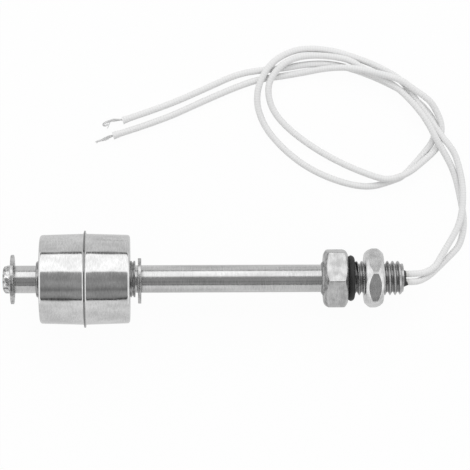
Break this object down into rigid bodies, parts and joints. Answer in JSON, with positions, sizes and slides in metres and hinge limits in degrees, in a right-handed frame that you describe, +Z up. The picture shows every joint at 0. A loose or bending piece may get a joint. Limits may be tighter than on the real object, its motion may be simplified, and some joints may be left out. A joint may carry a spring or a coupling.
{
  "type": "float level switch",
  "caption": "Stainless float level switch: slim stem with a cylindrical float between clips, a hexagon and threaded stud with O-ring and lock nut, and loose stripped leads.",
  "frame": {"origin": "middle of the hexagon's sealing face, on the stem's axis", "axes": "+X along the stem towards the stud as seen from above, +Y to the side on which the leads lie, +Z up from the table; the stem itself dips 3.38 degrees towards the stud, as the switch lies"},
  "size_m": [0.1354, 0.0831, 0.0282],
  "materials": {
    "fitting_steel": "turned",
    "stem_steel": "polished",
    "weld_steel": "as welded, mottled",
    "nut_steel": "turned",
    "clip_steel": "stamped",
    "float_steel": "polished",
    "seal_rubber": "matte",
    "potting_resin": "cast, glossy",
    "lead_insulation": "matte, faint weave",
    "tinned_copper": "tinned",
    "carrier_plastic": "moulded",
    "ferrite": "pressed and ground",
    "capsule_glass": "clear, faint green",
    "blade_alloy": "plated",
    "sleeve_plastic": "shrunk tubing"
  },
  "bodies": {
    "stem": {"hex_fitting": "fitting_steel", "stem_tube": "stem_steel", "stem_end_plug": "weld_steel", "o_ring_seal": "seal_rubber", "lower_e_clip": "clip_steel", "upper_e_clip": "clip_steel", "reed_glass": "capsule_glass", "reed_blade_lower": "blade_alloy", "reed_blade_upper": "blade_alloy", "reed_sleeve": "sleeve_plastic", "lead_a_inner": "lead_insulation", "lead_b_inner": "lead_insulation", "return_conductor": "tinned_copper", "splice_upper": "tinned_copper", "splice_lower": "tinned_copper", "potting_plug": "potting_resin", "lead_a": "lead_insulation", "lead_b": "lead_insulation", "lead_a_strands": "tinned_copper", "lead_b_strands": "tinned_copper"},
    "float_magnet": {"ring_magnet": "ferrite", "magnet_carrier": "carrier_plastic"},
    "float_shell": {"float_lower_shell": "float_steel", "float_upper_shell": "float_steel", "float_bore_tube": "float_steel"},
    "lock_nut": {"lock_nut": "nut_steel"}
  },
  "joints": [
    {"name": "float_slide", "type": "slide", "parent": "stem", "child": "float_magnet", "axis": [0.9983, 0, -0.059], "range_m": [-0.0063, 0.0007]},
    {"name": "float_turn", "type": "hinge", "parent": "float_magnet", "child": "float_shell", "pos_m": [-0.07607, 0, 0.0045], "axis": [0.9983, 0, -0.059], "continuous": true},
    {"name": "lock_nut_travel", "type": "slide", "parent": "stem", "child": "lock_nut", "axis": [0.9983, 0, -0.059], "range_m": [-0.0025, 0.0055]}
  ]
}
